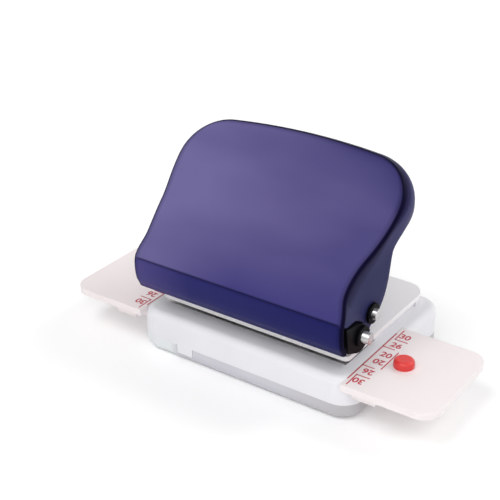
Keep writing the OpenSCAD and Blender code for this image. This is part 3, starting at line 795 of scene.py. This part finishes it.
def make_handle(finishes):
    """The handle cover with its rounded edges, in place of the plain one."""
    pivot = next(joint for joint in frame["joints"] if joint["name"] == "handle_press")["pos_m"]
    made = CoverMesh()
    points = [(x * MM, pivot[1] + y * MM, pivot[2] + z * MM) for x, y, z in made.points]
    handle = new_piece("handle_shell", points, made.faces, finishes["handle"])
    for name, values in made.marks.items():
        handle.data.attributes.new(name, "FLOAT", "POINT").data.foreach_set("value", values)
    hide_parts("handle_cover")
    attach(handle, "handle")


# Return springs, in millimetres. A dead turn is a closed one at an end.
SPRING_TURNS = 3.5
DEAD_TURNS = 0.75
COIL_R = 3.45
WIRE_R = 0.3
DEAD_PITCH = 2.2 * WIRE_R
PUNCH_HEAD_H = 5.5
RINGS_PER_TURN = 24
WIRE_SIDES = 8


def coil_line(low, high):
    """Points along the middle of the wire, from a closed lower turn up to a closed upper turn."""
    turns = SPRING_TURNS + 2 * DEAD_TURNS
    count = int(turns * RINGS_PER_TURN)
    line = []
    for k in range(count + 1):
        turn = turns * k / count
        share = np.clip((turn - DEAD_TURNS) / SPRING_TURNS, 0, 1)
        dead = DEAD_PITCH * (min(turn, DEAD_TURNS) + max(turn - DEAD_TURNS - SPRING_TURNS, 0))
        climb = share * (high - low - 2 * DEAD_PITCH * DEAD_TURNS)
        angle = 2 * math.pi * turn
        line.append(np.array([COIL_R * math.cos(angle), COIL_R * math.sin(angle), low + dead + climb]))
    return line


def add_wire(line, centre, points, faces):
    """Adds a round wire along a coil's line to the lists of points and faces."""
    base = len(points)
    for i, at in enumerate(line):
        ahead = line[min(i + 1, len(line) - 1)] - line[max(i - 1, 0)]
        ahead /= np.linalg.norm(ahead)
        radial = np.array([at[0], at[1], 0]) / COIL_R
        up = np.cross(radial, ahead)
        for side in range(WIRE_SIDES):
            turn = 2 * math.pi * side / WIRE_SIDES
            p = at + WIRE_R * (math.cos(turn) * radial + math.sin(turn) * up)
            points.append(((p[0] + centre[0]) * MM, (p[1] + centre[1]) * MM, p[2] * MM))
    for i in range(len(line) - 1):
        for side in range(WIRE_SIDES):
            a = base + i * WIRE_SIDES + side
            b = base + i * WIRE_SIDES + (side + 1) % WIRE_SIDES
            faces.append((a, b, b + WIRE_SIDES, a + WIRE_SIDES))
    faces.append(tuple(range(base + WIRE_SIDES - 1, base - 1, -1)))
    faces.append(tuple(range(len(points) - WIRE_SIDES, len(points))))


def make_springs(finishes):
    """All return springs as smooth coils, which move with the punch body."""
    plate_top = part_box("upper_plate")[1].z / MM
    points, faces = [], []
    for punch in PUNCHES:
        low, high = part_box(punch)
        centre = ((low.x + high.x) / 2 / MM, (low.y + high.y) / 2 / MM)
        head_low = high.z / MM - PUNCH_HEAD_H
        add_wire(coil_line(plate_top + WIRE_R, head_low - WIRE_R), centre, points, faces)
    springs = new_piece("spring_coils", points, faces, finishes["spring_steel"])
    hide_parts("punch_springs")
    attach(springs, "punch_body")
    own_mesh(springs)


# Printed marks on the guide plates, in millimetres: distance from the middle and from the row of holes
LINE_W = 0.34
INK_T = 0.03
LONG_LINE_X = 33.35
LONG_LINE_Y = 13.2
SHORT_LINE_X = 38.45
SHORT_LINE_Y = 4.8
LEG_Y = 15.6
# Lines along the row: inner end, distance from the row, outer end
NEAR_CROSS = (LONG_LINE_X, 5.6, 37.1)
FAR_CROSS = (34.4, 10.4, 38.4)
# Each number and its distance from the row
LABELS = [("30", 12.5), ("26", 7.5), ("20", 1.9)]
LABEL_X = 36.4
LABEL_SIZE = 3.2
LABEL_BOLD = 0.07


def mark_bars(sign):
    """Lines of one guide plate, each as two opposite corners in the plane of the plate."""
    bars = []
    leg_x, leg_start, _ = FAR_CROSS
    for flip in (-1, 1):
        bars.append(((LONG_LINE_X, 0), (LONG_LINE_X + LINE_W, flip * LONG_LINE_Y)))
        bars.append(((SHORT_LINE_X, 0), (SHORT_LINE_X + LINE_W, flip * SHORT_LINE_Y)))
        for x, y, x_end in (NEAR_CROSS, FAR_CROSS):
            bars.append(((x, flip * y), (x_end, flip * (y - LINE_W))))
        bars.append(((leg_x, flip * (leg_start - LINE_W)), (leg_x + LINE_W, flip * LEG_Y)))
    return [tuple((sign * x, y) for x, y in bar) for bar in bars]


def box_mesh(corners, z_low, z_high, points, faces):
    """Adds a thin bar to the lists of points and faces."""
    (x0, x1), (y0, y1) = (sorted(values) for values in zip(*corners))
    base = len(points)
    for z in (z_low, z_high):
        points += [(x0, y0, z), (x1, y0, z), (x1, y1, z), (x0, y1, z)]
    quads = [(3, 2, 1, 0), (4, 5, 6, 7), (0, 1, 5, 4), (1, 2, 6, 5), (2, 3, 7, 6), (3, 0, 4, 7)]
    faces += [tuple(base + k for k in quad) for quad in quads]


def label_mesh(word, place, turned, name, finish):
    """A short number as a thin mesh lying on a guide plate."""
    curve = bpy.data.curves.new(name, "FONT")
    curve.body = word
    curve.size = LABEL_SIZE * MM
    curve.align_x = curve.align_y = "CENTER"
    curve.extrude = INK_T * MM
    curve.offset = LABEL_BOLD * MM
    text = bpy.data.objects.new(name + "_text", curve)
    scene.collection.objects.link(text)
    text.matrix_world = Matrix.Translation(place) @ Matrix.Rotation(math.pi if turned else 0, 4, "Z")
    bpy.context.view_layer.update()
    mesh = bpy.data.meshes.new_from_object(text.evaluated_get(bpy.context.evaluated_depsgraph_get()))
    mesh.transform(text.matrix_world)
    bpy.data.objects.remove(text)
    mesh.materials.clear()
    mesh.materials.append(finish)
    label = bpy.data.objects.new(name, mesh)
    scene.collection.objects.link(label)
    return label


def make_marks(finishes):
    """Red lines and plain numbers on both guide plates."""
    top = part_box("guide_plate_right")[1].z
    for body, sign in (("guide_right", 1), ("guide_left", -1)):
        points, faces = [], []
        for bar in mark_bars(sign):
            corners = [(x * MM, y * MM) for x, y in bar]
            box_mesh(corners, top - INK_T * MM, top + INK_T * MM, points, faces)
        lines = new_piece(f"{body}_lines", points, faces, finishes["print"], smooth=False)
        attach(lines, body)
        for word, y in LABELS:
            for flip, half in ((1, "rear"), (-1, "front")):
                place = (sign * LABEL_X * MM, flip * y * MM, top)
                label = label_mesh(word, place, flip < 0, f"{body}_number_{word}_{half}", finishes["print"])
                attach(label, body)


# Stage and light, in metres and watts: the floor's own glow grows between two distances from the middle
WHITE = (1, 1, 1, 1)
SURROUND_LEVEL = 0.55
FLOOR_HALF = 4
FLOOR_TONE = (0.97, 0.97, 0.97, 1)
FLOOR_ROUGHNESS = 0.9
FLOOR_GLOW = (0.08, 0.45)
FLOOR_GLOW_SPAN = (0.25, 1.2)
# Name, place and power of each lamp, the diameter of all of them, and the point that they face
LAMPS = [
    ("front", (-0.15, -0.6, 1.1), 4.7),
    ("front_right", (0.6, -0.8, 0.7), 3.3),
    ("rear_right", (0.7, 0.7, 0.9), 4.3),
]
LAMP_D = 0.6
LAMPS_FACE = Vector((0, 0, 0.03))


def seen_share(tree, low, high):
    """A strength that is high for camera, glossy and transmission rays, and low for all others."""
    nodes, links = tree.nodes, tree.links
    path = nodes.new("ShaderNodeLightPath")
    seen = path.outputs["Is Camera Ray"]
    for kind in ("Is Glossy Ray", "Is Transmission Ray"):
        both = nodes.new("ShaderNodeMath")
        both.operation = "MAXIMUM"
        links.new(seen, both.inputs[0])
        links.new(path.outputs[kind], both.inputs[1])
        seen = both.outputs["Value"]
    level = nodes.new("ShaderNodeMapRange")
    level.inputs["To Min"].default_value = low
    level.inputs["To Max"].default_value = high
    links.new(seen, level.inputs["Value"])
    return level.outputs["Result"]


def make_floor():
    """A plain pale floor that keeps the shadow, and stays as white far off, where the lamps are weak."""
    finish = Finish("floor", Base_Color=FLOOR_TONE, Roughness=FLOOR_ROUGHNESS, Emission_Color=WHITE)
    place = finish.node("ShaderNodeTexCoord")
    away = finish.node("ShaderNodeVectorMath", operation="LENGTH")
    finish.links.new(place.outputs["Object"], away.inputs[0])
    glow = finish.spread(away.outputs["Value"], *FLOOR_GLOW, *FLOOR_GLOW_SPAN)
    seen = seen_share(finish.material.node_tree, 0, 1)
    finish.feed("Emission Strength", finish.math("MULTIPLY", glow, seen))
    points = [(x * FLOOR_HALF, y * FLOOR_HALF, 0) for x, y in ((-1, -1), (1, -1), (1, 1), (-1, 1))]
    new_piece("floor", points, [(0, 1, 2, 3)], finish.material, smooth=False)


def make_surround():
    """A world that shows as white, and lights the object at a lower level."""
    world = bpy.data.worlds.new("surround")
    world.use_nodes = True
    background = world.node_tree.nodes["Background"]
    background.inputs["Color"].default_value = WHITE
    strength = seen_share(world.node_tree, SURROUND_LEVEL, 1)
    world.node_tree.links.new(strength, background.inputs["Strength"])
    scene.world = world


def make_lamps():
    """Soft round lamps."""
    for name, place, power in LAMPS:
        data = bpy.data.lights.new(name, "AREA")
        data.shape = "DISK"
        data.size = LAMP_D
        data.energy = power
        lamp = bpy.data.objects.new(name, data)
        lamp.location = place
        lamp.rotation_euler = (LAMPS_FACE - Vector(place)).to_track_quat("-Z", "Y").to_euler()
        scene.collection.objects.link(lamp)


def main():
    make_camera()
    finishes = make_materials()
    dress_nodes(finishes)
    make_handle(finishes)
    make_springs(finishes)
    make_marks(finishes)
    make_floor()
    make_surround()
    make_lamps()


main()
